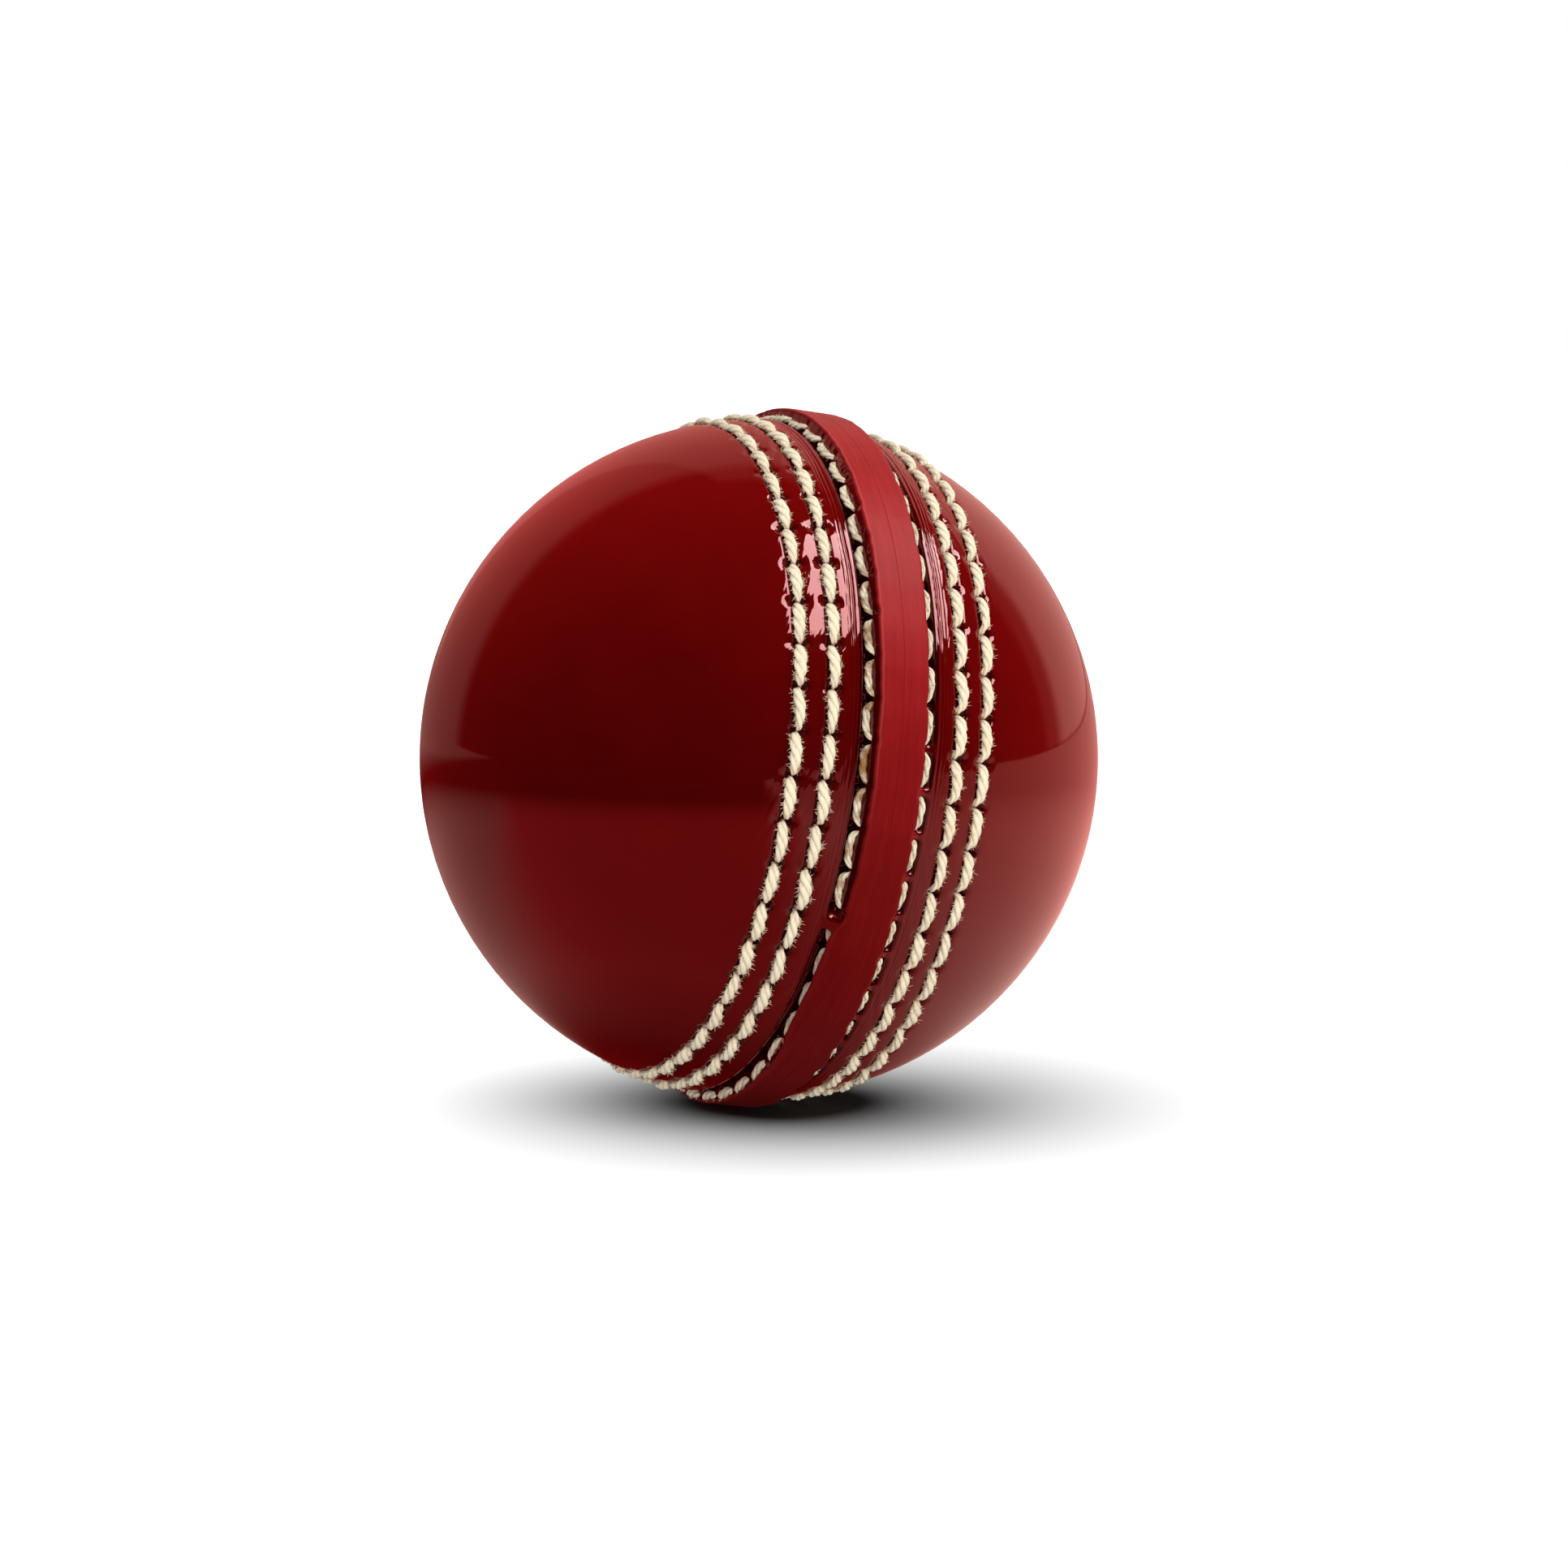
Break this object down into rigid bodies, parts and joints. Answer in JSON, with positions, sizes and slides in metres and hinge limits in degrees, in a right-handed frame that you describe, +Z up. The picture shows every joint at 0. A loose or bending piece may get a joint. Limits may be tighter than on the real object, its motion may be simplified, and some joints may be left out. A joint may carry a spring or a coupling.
{
  "type": "cricket ball",
  "caption": "Red leather ball of two sewn cups with a raised matte seam band and rows of cream stitches each side, over a wound cork core.",
  "frame": {"origin": "centre of the ball", "axes": "+Y along the axis through the two poles, square to the seam plane; +Z up in the seam plane, through the top of the seam; the left cup is on the -Y side"},
  "size_m": [0.0734, 0.0716, 0.0734],
  "materials": {
    "leather": "glossy dyed and lacquered, matte on the seam band",
    "thread": "waxed linen twine",
    "yarn": "wound wool yarn",
    "cork": "granular cork"
  },
  "bodies": {
    "root": {"cork_nucleus": "cork", "inner_winding": "yarn", "inner_cork_shims": "cork", "middle_winding": "yarn", "outer_cork_shims": "cork", "outer_winding": "yarn", "left_cover_cup": "leather", "right_cover_cup": "leather", "closing_thread": "thread", "left_middle_row_thread_a": "thread", "left_middle_row_thread_b": "thread", "left_outer_row_thread_a": "thread", "left_outer_row_thread_b": "thread", "right_middle_row_thread_a": "thread", "right_middle_row_thread_b": "thread", "right_outer_row_thread_a": "thread", "right_outer_row_thread_b": "thread"}
  },
  "joints": []
}
